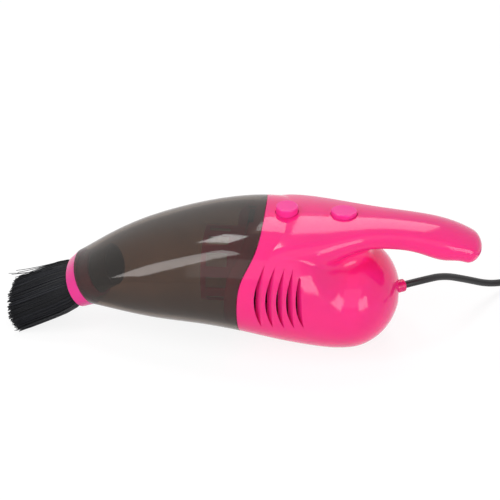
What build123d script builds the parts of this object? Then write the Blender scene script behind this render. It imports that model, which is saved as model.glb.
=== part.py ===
from build123d import *
import math
import os

# Desktop mini vacuum cleaner. Frame: nozzle towards -X, grip and cord towards +X,
# the buttons on top (+Z), left side towards -Y, and the table at Z = 0.

# ---------------------------------------------------------------- driving sizes, mm
CUP_LENGTH = 74.0  # parting line to the nozzle ring
BODY_REACH = 44.0  # parting line to the widest ring of the motor bulb
BULB_LENGTH = 23.9  # from there to the bulb's rear
BULB_RISE = 0.9  # the rear's middle lies this much higher
BODY_WIDTH = 69.0
BODY_HEIGHT = 58.2
BULB_CUT = 80.0  # degrees round the bulb at which its small flat rear face lies

HOUSING_WALL = 2.0
CUP_WALL = 1.8
SEAM_GAP = 0.25  # visible line between cup and housing
PART_GAP = 0.12  # fixed pieces that drop into a pocket
SLIP = 0.25  # sliding pieces, per side
BEARING_PLAY = 0.05
TOUCH = 0.02  # faces that rest on each other

GRIP_START = 4.0
GRIP_LENGTH = 93.0
GRIP_TOP = 63.9
GRIP_TIP = 6.5
GRIP_SHOULDER = 0.82  # where the flat deck turns into the side, as a share of the half width
GRIP_EXPONENT = 2.5
GAP_FILLET = 4.0

COLLAR_REACH = 6.0  # how far the housing's collar reaches into the cup
COLLAR_DEPTH = 4.0
COLLAR_WALL = 1.65
COLLAR_BITE = 0.3  # its root reaches this far into the housing wall

VENT_COUNT = 5
VENT_FIRST = 5.0
VENT_PITCH = 4.8
VENT_LOW = 23.5
VENT_HIGH = 53.5
VENT_STEP_DOWN = 0.6  # each slot's top end lies this much lower than the one before
VENT_BOW = 3.7  # how far the slot's front edge bows out
VENT_WIDTH = 3.2
VENT_SLANT = 52.0  # degrees, louvre walls against the side
VENT_REACH = 36.0
VENT_MARKS = 7

BUTTON_PROUD = 3.5
RELEASE_AT = 16.5
RELEASE_RADIUS = 4.95
RELEASE_TRAVEL = 2.5
POWER_AT = 41.8
POWER_LENGTH = 11.6
POWER_WIDTH = 9.7
POWER_PROUD = 1.9
POWER_TRAVEL = 1.2
POWER_DROP = 1.6  # flange below the deck
PLUNGER_SIDE = 3.0
PLUNGER_BITE = 1.6
SWITCH_SIDE = 8.0
SWITCH_DROP = 5.4
SWITCH_HEIGHT = 4.5
CRADLE_HEIGHT = 6.0
BUTTON_FLANGE = 1.1
FLANGE_THICK = 1.4
BUTTON_EDGE = 0.7
SHELF_Z = 49.0
SHELF_THICK = 1.5
SHELF_LENGTH = 13.0
SHELF_HALF = 9.0
SPRING_WIRE = 0.7
SPRING_TURNS = 4.0
STEM_RADIUS = 2.0
STEM_LENGTH = 5.0
HOOK_WIDTH = 11.0
HOOK_THICK = 1.6
HOOK_LENGTH = 2.4  # tooth along X
HOOK_AT = 0.6
HOOK_SHORT = 0.45  # the tooth ends this far below the cup
POCKET_PLAY = 0.6  # pocket in the cup round the tooth
POCKET_DEPTH = 0.8

NOZZLE_TILT = 32.0
RING_DEPTH = 5.3
RING_HALF_WIDTH = 16.4
RING_HALF_HEIGHT = 9.9
BORE_HALF_WIDTH = 13.7
BORE_HALF_HEIGHT = 8.1
SLEEVE_WALL = 1.2
SLEEVE_DEPTH = 6.0
BRUSH_DEPTH = 20.0  # brush socket behind the ring's mouth
BRUSH_WALL = 1.5
BRUSH_PLATE = 2.5
AIR_SLOT = 3.4
BRISTLE_LENGTH = 29.5
TUFT_HALF_WIDTH = 15.2
TUFT_HALF_HEIGHT = 7.9

FILTER_Z = 35.0
FILTER_HALF_WIDTH = 17.6
FILTER_HALF_HEIGHT = 15.6
FILTER_FRONT = -20.5
FILTER_BACK = -2.6
FILTER_WALL = 1.2
FILTER_RIBS = 10
FILTER_BAR = 2.2
WINDOW_WIDTH = 6.2
FACE_WINDOW = 5.4
FACE_PITCH = 8.2
FACE_BAR = 4.2
CLOTH_THICK = 0.8
SEAT_PLATE = 1.8
SEAT_AT = 0.4
SEAT_REACH = 7.5
SEAT_WALL = 1.5

MOTOR_RISE = 0.5  # motor axis above the bulb's middle
MOTOR_RADIUS = 11.0
MOTOR_LENGTH = 25.0
MOTOR_WALL = 0.9
MAGNET_THICK = 2.4
MAGNET_GAP = 7.0
ROTOR_RADIUS = 7.2
ROTOR_LENGTH = 15.0
SHAFT_RADIUS = 1.0
MOTOR_AT = 32.0
END_CAP = 2.0
MOUNT_PLATE = 2.0
MOUNT_SLEEVE = 10.0
MOUNT_WALL = 1.4
PILOT_RADIUS = 3.2
TERMINAL = (2.8, 0.5, 3.6)
TERMINAL_SPREAD = 5.0
FAN_RADIUS = 15.0
FAN_AT = 12.0
FAN_DEPTH = 11.0
FAN_DISC = 1.2
FAN_CLEAR = 0.6  # from the duct to the blades
FAN_HUB = 3.6
FAN_BLADES = 9
BLADE_THICK = 0.9
BLADE_SWEEP = 38.0
BLADE_BOW = 2.0
EYE_RADIUS = 8.0
DUCT_WALL = 1.2

SCREW_SPOTS = ((26.0, 50.0, 9.0), (82.0, 55.4, 4.5), (58.0, 9.6, 7.0), (27.0, 9.4, 5.0))  # x, z, seat y
BOSS_RADIUS = 2.4
SCREW_RADIUS = 1.0
SCREW_HEAD = 1.9
SCREW_HEAD_HEIGHT = 1.5
SCREW_BITE = 6.0
DRIVE_DEPTH = 0.7
DRIVE_RADIUS = 0.6

CORD_DIAMETER = 3.3
CORD_TOTAL = 1000.0
EXIT_YAW = 30.0
EXIT_RISE = 3.2
GLAND_RADIUS = 2.9
GLAND_PROUD = 2.6
GLAND_DEPTH = 4.0
COIL_MIDDLE = 19.0  # radius of the coil's middle circle
COIL_WIDTH = 14.8
COIL_HEIGHT = 6.8
COIL_EDGE = 2.4
COIL_JOIN = 1.5  # how far the cord runs into the coil
CORD_ROUTE = (
    (87.5, 16.5, 23.6),
    (98.5, 28.5, 15.8),
    (110.0, 40.5, 7.6),
    (122.5, 52.5, 1.75),
    (127.5, 57.5, 1.75),
)
FIRST_RUN = 9.5
PLUG_YAW = -75.0
LEAD_RUN = 17.0  # free cord from the coil to the plug
PLUG_TAIL = (9.0, 2.3)
PLUG_BODY = (21.0, 15.6, 8.0)
PLUG_SHELL = (12.2, 12.0, 4.5)
PLUG_EDGE = 2.2
SHELL_BITE = 3.0
SHELL_THICK = 0.4
TONGUE = (12.0, 10.6, 1.8)
WIRE_DIAMETER = 1.3

# Stations of the body, nose to bulb. Each row: place along its own length (negative on
# the cup), tilt in degrees, exponent of the oval, then half width, middle height and
# half height as shares of the body's half width, height and half height.
BODY_FORM = (
    (-1.000, 32.0, 2.10, 0.493, 0.412, 0.392),
    (-0.838, 29.0, 2.15, 0.623, 0.454, 0.543),
    (-0.622, 23.0, 2.20, 0.754, 0.512, 0.715),
    (-0.351, 14.0, 2.30, 0.884, 0.579, 0.821),
    (-0.054, 6.0, 2.40, 0.974, 0.610, 0.924),
    (0.364, 1.0, 2.40, 1.000, 0.586, 1.000),
    (0.727, 0.0, 2.25, 0.928, 0.503, 0.969),
    (1.000, 0.0, 2.10, 0.826, 0.397, 0.808),
)
BULB_ANGLES = (15.0, 30.0, 45.0, 58.0, 70.0, BULB_CUT)

# Stations of the grip: place along its length, tilt, half width, drop of the top
# below GRIP_TOP, and thickness.
GRIP_FORM = (
    (0.000, 0.0, 30.0, 4.4, 29.5),
    (0.108, 0.0, 28.5, 1.3, 26.6),
    (0.237, 0.0, 25.0, 0.0, 23.9),
    (0.366, 0.0, 20.5, 0.0, 18.9),
    (0.495, -1.0, 15.3, 0.0, 13.6),
    (0.624, -3.0, 12.8, 0.4, 12.3),
    (0.774, -8.0, 12.2, 1.5, 13.0),
    (0.903, -14.0, 12.0, 3.8, 14.1),
    (1.000, -24.0, 10.3, 7.4, 11.4),
)
TIP_ANGLES = (20.0, 38.0, 55.0, 70.0, 80.0)

# Parting line of cup and housing in side view: x, then height as a share of the body's.
SEAM_FORM = ((7.2, 1.17), (6.6, 1.065), (4.6, 0.97), (-0.6, 0.80), (-2.6, 0.60),
             (-2.5, 0.38), (-1.5, 0.07), (-1.0, -0.07))

FAR = 200.0
STANDING = (Align.CENTER, Align.CENTER, Align.MIN)
OVAL_POINTS = 28
GRIP_POINTS = 22
FINE = 24  # steps drawn for each point kept


# ---------------------------------------------------------------- forms
def cos(degrees):
    return math.cos(math.radians(degrees))


def sin(degrees):
    return math.sin(math.radians(degrees))


def signed_power(value, power):
    return math.copysign(abs(value) ** power, value)


def tilted(x, z, tilt, y, rise):
    """Point at (y, rise) in a section at x, z whose top leans towards -X by tilt."""
    return Vector(x - rise * sin(tilt), y, z + rise * cos(tilt))


def even_points(fine, count):
    """count + 1 points at even distances along a finely drawn line."""
    run = [0.0]
    for first, second in zip(fine, fine[1:]):
        run.append(run[-1] + math.dist(first, second))
    points, at = [], 0
    for step in range(count + 1):
        target = run[-1] * step / count
        while at < len(run) - 2 and run[at + 1] < target:
            at += 1
        share = (target - run[at]) / (run[at + 1] - run[at])
        points.append([p + share * (q - p) for p, q in zip(fine[at], fine[at + 1])])
    return points


def superellipse(half_width, half_height, exponent, turn_from, turn_to, count):
    """count + 1 even (y, rise) points round a superellipse; turns in degrees from +Y."""
    fine, power = [], 2.0 / exponent
    for step in range(FINE * count + 1):
        turn = turn_from + (turn_to - turn_from) * step / (FINE * count)
        across, up = signed_power(cos(turn), power), signed_power(sin(turn), power)
        fine.append((half_width * across, half_height * up))
    return even_points(fine, count)


def even_marks(count):
    return [step / count for step in range(count + 1)]


def oval_wire(x, z, tilt, half_width, half_height, exponent):
    ring = superellipse(half_width, half_height, exponent, 0.0, 360.0, OVAL_POINTS)
    points = [tilted(x, z, tilt, y, rise) for y, rise in ring[:-1]]
    return Wire([Edge.make_spline(points, periodic=True, parameters=even_marks(OVAL_POINTS))])


def body_stations(inset):
    """Rows (x, z, tilt, half width, half height, exponent) of the body, moved in by inset."""
    rows = []
    for along, tilt, exponent, wide, middle, tall in BODY_FORM:
        x = along * (CUP_LENGTH if along < 0 else BODY_REACH)
        rows.append((x, middle * BODY_HEIGHT, tilt, wide * BODY_WIDTH / 2 - inset,
                     tall * BODY_HEIGHT / 2 - inset, exponent))
    return rows


def body_form(inset=0.0, nose_extra=0.0):
    """Body with its bulb, closed by planes; nose_extra lengthens it straight ahead."""
    rows = body_stations(inset)
    wires = [oval_wire(*row[:3], *row[3:]) for row in rows]
    x, z, tilt, wide, tall, exponent = rows[0]
    if nose_extra:
        ahead = (x - nose_extra * cos(tilt), z - nose_extra * sin(tilt))
        wires.insert(0, oval_wire(*ahead, tilt, wide, tall, exponent))
    x, z, tilt, wide, tall, exponent = rows[-1]
    for angle in BULB_ANGLES:
        reach = (BULB_LENGTH - inset) * sin(angle)
        wires.append(oval_wire(x + reach, z + BULB_RISE * sin(angle), tilt, wide * cos(angle),
                               tall * cos(angle), exponent))
    return Solid.make_loft(wires)


def grip_wire(x, z, tilt, half_width, half_height):
    """D-like section: a flat-crowned deck on a rounded trough, meeting in a soft edge."""
    start = math.degrees(math.acos(GRIP_SHOULDER ** (GRIP_EXPONENT / 2)))
    line = superellipse(half_width, half_height, GRIP_EXPONENT, start, -180.0 - start, GRIP_POINTS)
    trough = [tilted(x, z, tilt, y, rise) for y, rise in line]
    crown = tilted(x, z, tilt, 0, half_height)
    side = Edge.make_spline(trough, parameters=even_marks(GRIP_POINTS))
    return Wire([Edge.make_three_point_arc(trough[-1], crown, trough[0]), side])


def grip_form(inset=0.0):
    """Grip from inside the body to its tail, moved in by inset."""
    wires = []
    for along, tilt, half_width, drop, thick in GRIP_FORM:
        x = GRIP_START + along * GRIP_LENGTH
        z = GRIP_TOP - drop - thick / 2
        wires.append(grip_wire(x, z, tilt, half_width - inset, thick / 2 - inset))
    for angle in TIP_ANGLES:
        reach = (GRIP_TIP - inset * 0.6) * sin(angle)
        wires.append(grip_wire(x + reach * cos(tilt), z + reach * sin(tilt), tilt,
                               (half_width - inset) * cos(angle), (thick / 2 - inset) * cos(angle)))
    return Solid.make_loft(wires)


def seam_block(shift=0.0):
    """Everything in front of the parting line, moved along X by shift."""
    points = [(x + shift, share * BODY_HEIGHT) for x, share in SEAM_FORM]
    high, low = points[0], points[-1]
    edge = Spline(*[Plane.XZ.from_local_coords((x, z)) for x, z in points])
    corners = [low, (-FAR, low[1]), (-FAR, high[1]), high]
    rest = Polyline(*[Plane.XZ.from_local_coords(c) for c in corners])
    return extrude(make_face([edge, rest]), FAR / 2, dir=(0, 1, 0), both=True)


def slab(x_from, x_to):
    return Pos((x_from + x_to) / 2, 0, 0) * Box(x_to - x_from, FAR, 2 * FAR)


def half_space(side):
    """Box above the table on one side of the mid plane: side is -1 for left, +1 for right."""
    return Pos(0, side * FAR / 2, FAR / 2) * Box(2 * FAR, FAR, FAR)


def rod(x_from, x_to, radius):
    """Round bar along the motor's axis."""
    return Pos(x_from, 0, MOTOR_Z) * Rot(0, 90, 0) * Cylinder(radius, x_to - x_from, align=STANDING)


def bar_y(x, z, y_from, y_to, radius):
    """Round bar along Y."""
    low, high = min(y_from, y_to), max(y_from, y_to)
    return Pos(x, low, z) * Rot(-90, 0, 0) * Cylinder(radius, high - low, align=STANDING)


def post(x, z_from, z_to, radius):
    """Round upright bar on the mid plane."""
    return Pos(x, 0, z_from) * Cylinder(radius, z_to - z_from, align=STANDING)


def block(x, z_from, z_to, length, width):
    """Upright box centred at x on the mid plane."""
    return Pos(x, 0, z_from) * Box(length, width, z_to - z_from, align=STANDING)


def oval_prism(x_from, x_to, z, half_width, half_height, exponent=2.4):
    """Straight oval bar along X."""
    face = Face(oval_wire(x_from, z, 0, half_width, half_height, exponent))
    return extrude(face, x_to - x_from, dir=(1, 0, 0))


def nozzle_point(ahead, rise=0.0):
    """Side-view point on the nozzle axis, ahead of the ring's rear face."""
    x, z = RING_CENTRE
    out, down = cos(NOZZLE_TILT), sin(NOZZLE_TILT)
    return (x - ahead * out - rise * down, z - ahead * down + rise * out)


def nozzle_oval(ahead, half_width, half_height, exponent=2.1):
    x, z = nozzle_point(ahead)
    return oval_wire(x, z, NOZZLE_TILT, half_width, half_height, exponent)


def nozzle_prism(back, front, half_width, half_height):
    outward = (-cos(NOZZLE_TILT), 0, -sin(NOZZLE_TILT))
    return extrude(Face(nozzle_oval(back, half_width, half_height)), front - back, dir=outward)


def upright_oval(x, z_from, z_to, length, width):
    face = Pos(x, 0, z_from) * Ellipse(length / 2, width / 2)
    return extrude(face, z_to - z_from)


def tube(points, radii, diameter):
    path = FilletPolyline(*points, radius=radii)
    start = Plane(origin=path @ 0, z_dir=path % 0)
    return sweep(start * Circle(diameter / 2), path=path), path


def bend_radii(points):
    """Arc at each corner: 0.45 of the shorter run over the tangent of half the turn."""
    radii = []
    for before, corner, after in zip(points, points[1:], points[2:]):
        first, second = Vector(corner) - Vector(before), Vector(after) - Vector(corner)
        turn = first.get_angle(second)
        radii.append(0.45 * min(first.length, second.length) / math.tan(math.radians(turn / 2)))
    return radii


BULB_Z = BODY_FORM[-1][4] * BODY_HEIGHT
MOTOR_Z = BULB_Z + MOTOR_RISE
DECK_Z = (BODY_FORM[5][4] + BODY_FORM[5][5] / 2) * BODY_HEIGHT  # top of the body at the release button
RING_CENTRE = (-CUP_LENGTH, BODY_FORM[0][4] * BODY_HEIGHT)

parts = {}

# ---------------------------------------------------------------- housing
outer = body_form() + grip_form()
gap_edges = [e for e in outer.edges() if BODY_REACH - 6 < e.bounding_box().max.X < BODY_REACH + 6]
outer = outer.fillet(GAP_FILLET, gap_edges)
left_room = half_space(-1)
outer_left = outer & left_room
shell = outer_left - body_form(HOUSING_WALL) - grip_form(HOUSING_WALL) - seam_block()


def vent_edge(x, high, bow):
    """Points up one edge of a slot, on the plane that touches the body's side. The edge lies ahead of
    its place on the curved wall by as much as the slanted cut moves it back on the way there."""
    exponent, middle = BODY_FORM[5][2], BODY_FORM[5][4] * BODY_HEIGHT
    points = []
    for share in even_marks(VENT_MARKS):
        z = VENT_LOW + share * (high - VENT_LOW)
        height = abs(z - middle) / (BODY_HEIGHT / 2)
        wall_drop = BODY_WIDTH / 2 * (1 - (1 - height ** exponent) ** (1 / exponent))
        points.append((x + bow * (2 * share - 1) ** 2 + wall_drop * math.tan(math.radians(VENT_SLANT)), z))
    return points


def vent_cutter(index):
    """One crescent louvre slot, slanted through the left wall."""
    x = VENT_FIRST + index * VENT_PITCH
    high = VENT_HIGH - index * VENT_STEP_DOWN
    side_plane = Plane(origin=(0, -BODY_WIDTH / 2, 0), x_dir=(1, 0, 0), z_dir=(0, -1, 0))
    front = Spline(*vent_edge(x, high, VENT_BOW))
    back = Spline(*vent_edge(x + VENT_WIDTH, high, VENT_BOW - VENT_WIDTH))
    crescent = side_plane * make_face([front, back])
    inward = Vector(-sin(VENT_SLANT), cos(VENT_SLANT), 0)
    start = inward * (-VENT_REACH / 2)
    return extrude(Pos(*start) * crescent, VENT_REACH, dir=inward)


for index in range(VENT_COUNT):
    shell -= vent_cutter(index)

collar_skin = HOUSING_WALL + SLIP
collar_room = body_form(collar_skin + COLLAR_WALL)


def collar_piece(skin, front):
    """Left half of a ring under the wall, from the parting line moved by front, backwards."""
    ring = (body_form(skin) - collar_room) & left_room
    return ring & (seam_block(COLLAR_DEPTH) - seam_block(front))


shell += collar_piece(collar_skin, -COLLAR_REACH)
shell += collar_piece(HOUSING_WALL - COLLAR_BITE, COLLAR_BITE)
release_flange = DECK_Z - HOUSING_WALL - 1.0 - FLANGE_THICK
arm_z = release_flange - HOOK_THICK
tooth_back = HOOK_AT + HOOK_LENGTH / 2
hook_room = HOOK_WIDTH + 2 * SLIP
shell -= block(tooth_back + SLIP - COLLAR_REACH, arm_z - SLIP, DECK_Z, 2 * COLLAR_REACH, hook_room)


release_hole = post(RELEASE_AT, SHELF_Z + SHELF_THICK, FAR, RELEASE_RADIUS + SLIP)
power_hole = upright_oval(POWER_AT, GRIP_TOP - 8, FAR, POWER_LENGTH + 2 * SLIP, POWER_WIDTH + 2 * SLIP)

gland_dir = Vector(cos(EXIT_YAW), sin(EXIT_YAW), 0)
rear_x = BODY_REACH + BULB_LENGTH * sin(BULB_CUT)
gland_root = Vector(rear_x, 0, BULB_Z + BULB_RISE + EXIT_RISE)
gland_plane = Plane(origin=gland_root - gland_dir * GLAND_DEPTH, z_dir=gland_dir)
gland_hole = extrude(gland_plane * Circle(GLAND_RADIUS + PART_GAP), 3 * GLAND_DEPTH)

shelf = block(RELEASE_AT, SHELF_Z, SHELF_Z + SHELF_THICK, SHELF_LENGTH, 2 * SHELF_HALF)
shelf_wall = block(RELEASE_AT, SHELF_Z, DECK_Z - HOUSING_WALL / 2, SHELF_LENGTH, SHELF_THICK)
shelf += Pos(0, SHELF_THICK / 2 - SHELF_HALF, 0) * shelf_wall
shelf = (shelf & left_room & body_form(HOUSING_WALL / 2)) - post(RELEASE_AT, 0, FAR, STEM_RADIUS + SLIP)
switch_top = GRIP_TOP - HOUSING_WALL - SWITCH_DROP
switch_low = switch_top - SWITCH_HEIGHT
cradle = block(POWER_AT, switch_low - CRADLE_HEIGHT, switch_low - PART_GAP, SWITCH_SIDE - 1, SWITCH_SIDE + 1)
shell = shell + shelf + (cradle & outer_left) - release_hole - power_hole


def housing_half(side):
    half = shell if side < 0 else mirror(shell, about=Plane.XZ)
    solid = outer_left if side < 0 else mirror(outer_left, about=Plane.XZ)
    for x, z, seat in SCREW_SPOTS:
        radius = BOSS_RADIUS if side < 0 else BOSS_RADIUS + 0.3
        half += bar_y(x, z, 0, side * FAR / 4, radius) & solid
        if side < 0:
            half -= bar_y(x, z, SLIP, -SCREW_BITE - 1, SCREW_RADIUS + BEARING_PLAY)
        else:
            half -= bar_y(x, z, -SLIP, seat + 1, SCREW_RADIUS + SLIP)
            half -= bar_y(x, z, seat, FAR / 4, SCREW_HEAD + PART_GAP)
    return half - gland_hole


parts["housing_left"] = housing_half(-1)
parts["housing_right"] = housing_half(1)

screws = []
for x, z, seat in SCREW_SPOTS:
    end = seat + SCREW_HEAD_HEIGHT
    screw = bar_y(x, z, seat, end, SCREW_HEAD) - bar_y(x, z, end - DRIVE_DEPTH, end + 1, DRIVE_RADIUS)
    screw += bar_y(x, z, -SCREW_BITE, seat, SCREW_RADIUS)
    screws.append(screw.solids()[0])
parts["housing_screws"] = Compound(children=screws)

# ---------------------------------------------------------------- dust cup and nozzle
cup = (body_form() & seam_block(-SEAM_GAP)) - body_form(CUP_WALL, nose_extra=8.0)
crown_z = (body_form() & block(HOOK_AT, BODY_HEIGHT / 2, FAR, 0.1, 0.1)).bounding_box().max.Z
cup_under = crown_z - CUP_WALL
pocket_long, pocket_wide = HOOK_LENGTH + 2 * POCKET_PLAY, HOOK_WIDTH + 2 * POCKET_PLAY
parts["dust_cup"] = cup - block(HOOK_AT, cup_under - 1, cup_under + POCKET_DEPTH, pocket_long, pocket_wide)

nose = BODY_FORM[0]
ring_rear = oval_wire(*RING_CENTRE, NOZZLE_TILT, nose[3] * BODY_WIDTH / 2, nose[5] * BODY_HEIGHT / 2, nose[2])
ring = Solid.make_loft([ring_rear, nozzle_oval(RING_DEPTH, RING_HALF_WIDTH, RING_HALF_HEIGHT)])
ring += nozzle_prism(-SLEEVE_DEPTH, 0, BORE_HALF_WIDTH + SLEEVE_WALL, BORE_HALF_HEIGHT + SLEEVE_WALL)
ring -= nozzle_prism(-SLEEVE_DEPTH - 1, RING_DEPTH + 1, BORE_HALF_WIDTH, BORE_HALF_HEIGHT)
parts["nozzle_ring"] = ring

# ---------------------------------------------------------------- brush
brush_wide = BORE_HALF_WIDTH - SLIP
brush_tall = BORE_HALF_HEIGHT - SLIP
brush_front = RING_DEPTH + 0.6
brush_back = brush_front - BRUSH_DEPTH
base = nozzle_prism(brush_back, brush_front, brush_wide, brush_tall)
base -= nozzle_prism(brush_back - 1, brush_front - BRUSH_PLATE,
                     brush_wide - BRUSH_WALL, brush_tall - BRUSH_WALL)
x, z = nozzle_point(0)
mouth_plane = Plane(origin=(x, 0, z), x_dir=(0, 1, 0), z_dir=(-cos(NOZZLE_TILT), 0, -sin(NOZZLE_TILT)))
for side in (-1, 1):
    air_slot = Pos(side * (brush_wide - AIR_SLOT), 0, 0) * SlotCenterToCenter(4.0, 2.0, rotation=90)
    base -= extrude(mouth_plane * air_slot, brush_front + 2)
parts["brush_base"] = base
root_half_width = brush_wide - 2 * AIR_SLOT + 5.0
tuft = Solid.make_loft([
    nozzle_oval(brush_front, root_half_width, brush_tall - 0.4),
    nozzle_oval(brush_front + BRISTLE_LENGTH, TUFT_HALF_WIDTH, TUFT_HALF_HEIGHT)])
parts["brush_bristles"] = tuft & (Pos(0, 0, FAR / 2) * Box(2 * FAR, FAR, FAR))

# ---------------------------------------------------------------- filter and its seat
seat = body_form(collar_skin + COLLAR_WALL + PART_GAP) & slab(SEAT_AT, SEAT_AT + SEAT_PLATE)
spigot_wide = FILTER_HALF_WIDTH - FILTER_WALL - SLIP
spigot_tall = FILTER_HALF_HEIGHT - FILTER_WALL - SLIP
seat += oval_prism(-SEAT_REACH, SEAT_AT + 0.5, FILTER_Z, spigot_wide, spigot_tall)
spigot_bore = (spigot_wide - SEAT_WALL, spigot_tall - SEAT_WALL)
seat -= oval_prism(-SEAT_REACH - 1, SEAT_AT + SEAT_PLATE + 1, FILTER_Z, *spigot_bore)
hook_low = arm_z - RELEASE_TRAVEL - SLIP
parts["filter_seat"] = seat - block(SEAT_AT + SEAT_PLATE / 2, hook_low, FAR, 3 * SEAT_PLATE, hook_room)

frame = oval_prism(FILTER_FRONT, FILTER_BACK, FILTER_Z, FILTER_HALF_WIDTH, FILTER_HALF_HEIGHT)
frame -= oval_prism(FILTER_FRONT + FILTER_WALL, FILTER_BACK + 1, FILTER_Z,
                    FILTER_HALF_WIDTH - FILTER_WALL, FILTER_HALF_HEIGHT - FILTER_WALL)
window_from, window_to = FILTER_FRONT + FILTER_BAR, -SEAT_REACH - 1.5
window = Box(window_to - window_from, WINDOW_WIDTH, 2 * FILTER_HALF_WIDTH - 12)
for index in range(FILTER_RIBS):
    turned = Rot(360.0 * (index + 0.5) / FILTER_RIBS, 0, 0) * Pos(0, 0, FILTER_HALF_WIDTH) * window
    frame -= Pos((window_from + window_to) / 2, 0, FILTER_Z) * turned
for row in (-1, 0, 1):
    wide = FILTER_HALF_WIDTH if row == 0 else FILTER_HALF_WIDTH - 5
    pane = Box(2 * FILTER_WALL + 1, wide - FACE_BAR, FACE_WINDOW)
    for side in (-1, 1):
        frame -= Pos(FILTER_FRONT, side * wide / 2, FILTER_Z + row * FACE_PITCH) * pane
parts["filter_frame"] = frame
cloth_gap = FILTER_WALL + PART_GAP
cloth_in = cloth_gap + CLOTH_THICK
cloth = oval_prism(FILTER_FRONT + cloth_gap, -SEAT_REACH - PART_GAP, FILTER_Z,
                   FILTER_HALF_WIDTH - cloth_gap, FILTER_HALF_HEIGHT - cloth_gap)
cloth -= oval_prism(FILTER_FRONT + cloth_in, 0, FILTER_Z,
                    FILTER_HALF_WIDTH - cloth_in, FILTER_HALF_HEIGHT - cloth_in)
parts["filter_cloth"] = cloth

# ---------------------------------------------------------------- fan and motor
duct_back = FAN_AT - FAN_CLEAR
duct_front = SEAT_AT + SEAT_PLATE + PART_GAP
mouth = (spigot_wide - 0.5, spigot_tall - 0.5)


def funnel(inset):
    """From the oval mouth behind the filter to the round eye of the fan."""
    eye = EYE_RADIUS + DUCT_WALL - inset
    return Solid.make_loft([oval_wire(duct_front, FILTER_Z, 0, mouth[0] - inset, mouth[1] - inset, 2.4),
                            oval_wire(duct_back, MOTOR_Z, 0, eye, eye, 2.0)])


duct = funnel(0.0) + rod(duct_back - DUCT_WALL, duct_back, FAN_RADIUS - 0.4)
parts["inlet_duct"] = duct - funnel(DUCT_WALL)

fan_back = FAN_AT + FAN_DEPTH
fan = rod(fan_back - FAN_DISC, fan_back, FAN_RADIUS) + rod(FAN_AT + 2, fan_back + 1.5, FAN_HUB)
blade_plane = Plane(origin=(fan_back - FAN_DISC / 2, 0, MOTOR_Z), x_dir=(0, 1, 0), z_dir=(-1, 0, 0))
blade_root = (FAN_HUB - 0.6, 0)
blade_tip = (FAN_RADIUS * cos(BLADE_SWEEP) - 0.3, FAN_RADIUS * sin(BLADE_SWEEP))
blade_line = SagittaArc(blade_root, blade_tip, BLADE_BOW)
blade_edge = Pos(0, BLADE_THICK) * SagittaArc(blade_root, blade_tip, BLADE_BOW)
blade_ends = [Line(blade_line @ end, blade_edge @ end) for end in (0, 1)]
blade_face = make_face([blade_line, blade_edge, *blade_ends])
fan_room = rod(FAN_AT, fan_back, FAN_RADIUS)
for index in range(FAN_BLADES):
    turned = blade_plane * Rot(0, 0, 360.0 * index / FAN_BLADES) * blade_face
    fan += extrude(turned, FAN_DEPTH - FAN_DISC) & fan_room
parts["fan_impeller"] = fan - rod(FAN_AT, fan_back + 3, SHAFT_RADIUS)

motor_back = MOTOR_AT + MOTOR_LENGTH
parts["motor_shaft"] = rod(FAN_AT + 3, motor_back + 1.2, SHAFT_RADIUS)
can = rod(MOTOR_AT, motor_back, MOTOR_RADIUS) + rod(MOTOR_AT - 1.6, MOTOR_AT, PILOT_RADIUS - PART_GAP)
can -= rod(MOTOR_AT + MOTOR_WALL, motor_back + 1, MOTOR_RADIUS - MOTOR_WALL)
can -= rod(MOTOR_AT - 3, MOTOR_AT + 3, SHAFT_RADIUS + BEARING_PLAY)
parts["motor_can"] = can
cap = rod(motor_back + TOUCH, motor_back + END_CAP, MOTOR_RADIUS)
cap -= rod(motor_back - 1, motor_back + END_CAP + 1, SHAFT_RADIUS + BEARING_PLAY)
terminals = []
for side in (-1, 1):
    spot = Pos(motor_back + 0.2 + TERMINAL[2] / 2, side * TERMINAL_SPREAD, MOTOR_Z)
    cap -= spot * Box(2 * TERMINAL[2], TERMINAL[1] + 0.2, TERMINAL[0] + 0.2)
    terminals.append(spot * Box(TERMINAL[2], TERMINAL[1], TERMINAL[0]))
parts["motor_end_cap"] = cap
parts["motor_terminals"] = Compound(children=terminals)

magnet_zone = (MOTOR_LENGTH - ROTOR_LENGTH) / 2
magnet_from, magnet_to = MOTOR_AT + magnet_zone, motor_back - magnet_zone
magnets = rod(magnet_from, magnet_to, MOTOR_RADIUS - MOTOR_WALL - BEARING_PLAY)
magnets -= rod(MOTOR_AT, motor_back, MOTOR_RADIUS - MOTOR_WALL - MAGNET_THICK)
parts["motor_magnets"] = magnets - Pos(0, 0, MOTOR_Z) * Box(FAR, FAR, MAGNET_GAP)
rotor = rod(magnet_from, magnet_to, ROTOR_RADIUS) - rod(0, FAR, SHAFT_RADIUS)
for index in range(3):
    slot = Pos((magnet_from + magnet_to) / 2, 0, ROTOR_RADIUS - 1) * Box(MOTOR_LENGTH, 1.2, 6)
    rotor -= Pos(0, 0, MOTOR_Z) * Rot(120.0 * index, 0, 0) * slot
parts["motor_rotor"] = rotor

mount = body_form(HOUSING_WALL + PART_GAP) & slab(MOTOR_AT - MOUNT_PLATE, MOTOR_AT - TOUCH)
mount = mount & Box(FAR, FAR, 2 * (MOTOR_Z + MOTOR_RADIUS + 8))
sleeve_radius = MOTOR_RADIUS + PART_GAP
mount += rod(MOTOR_AT - 0.5, MOTOR_AT + MOUNT_SLEEVE, sleeve_radius + MOUNT_WALL)
mount -= rod(MOTOR_AT - TOUCH, MOTOR_AT + MOUNT_SLEEVE + 1, sleeve_radius)
parts["motor_mount"] = mount - rod(0, MOTOR_AT, PILOT_RADIUS)

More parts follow.
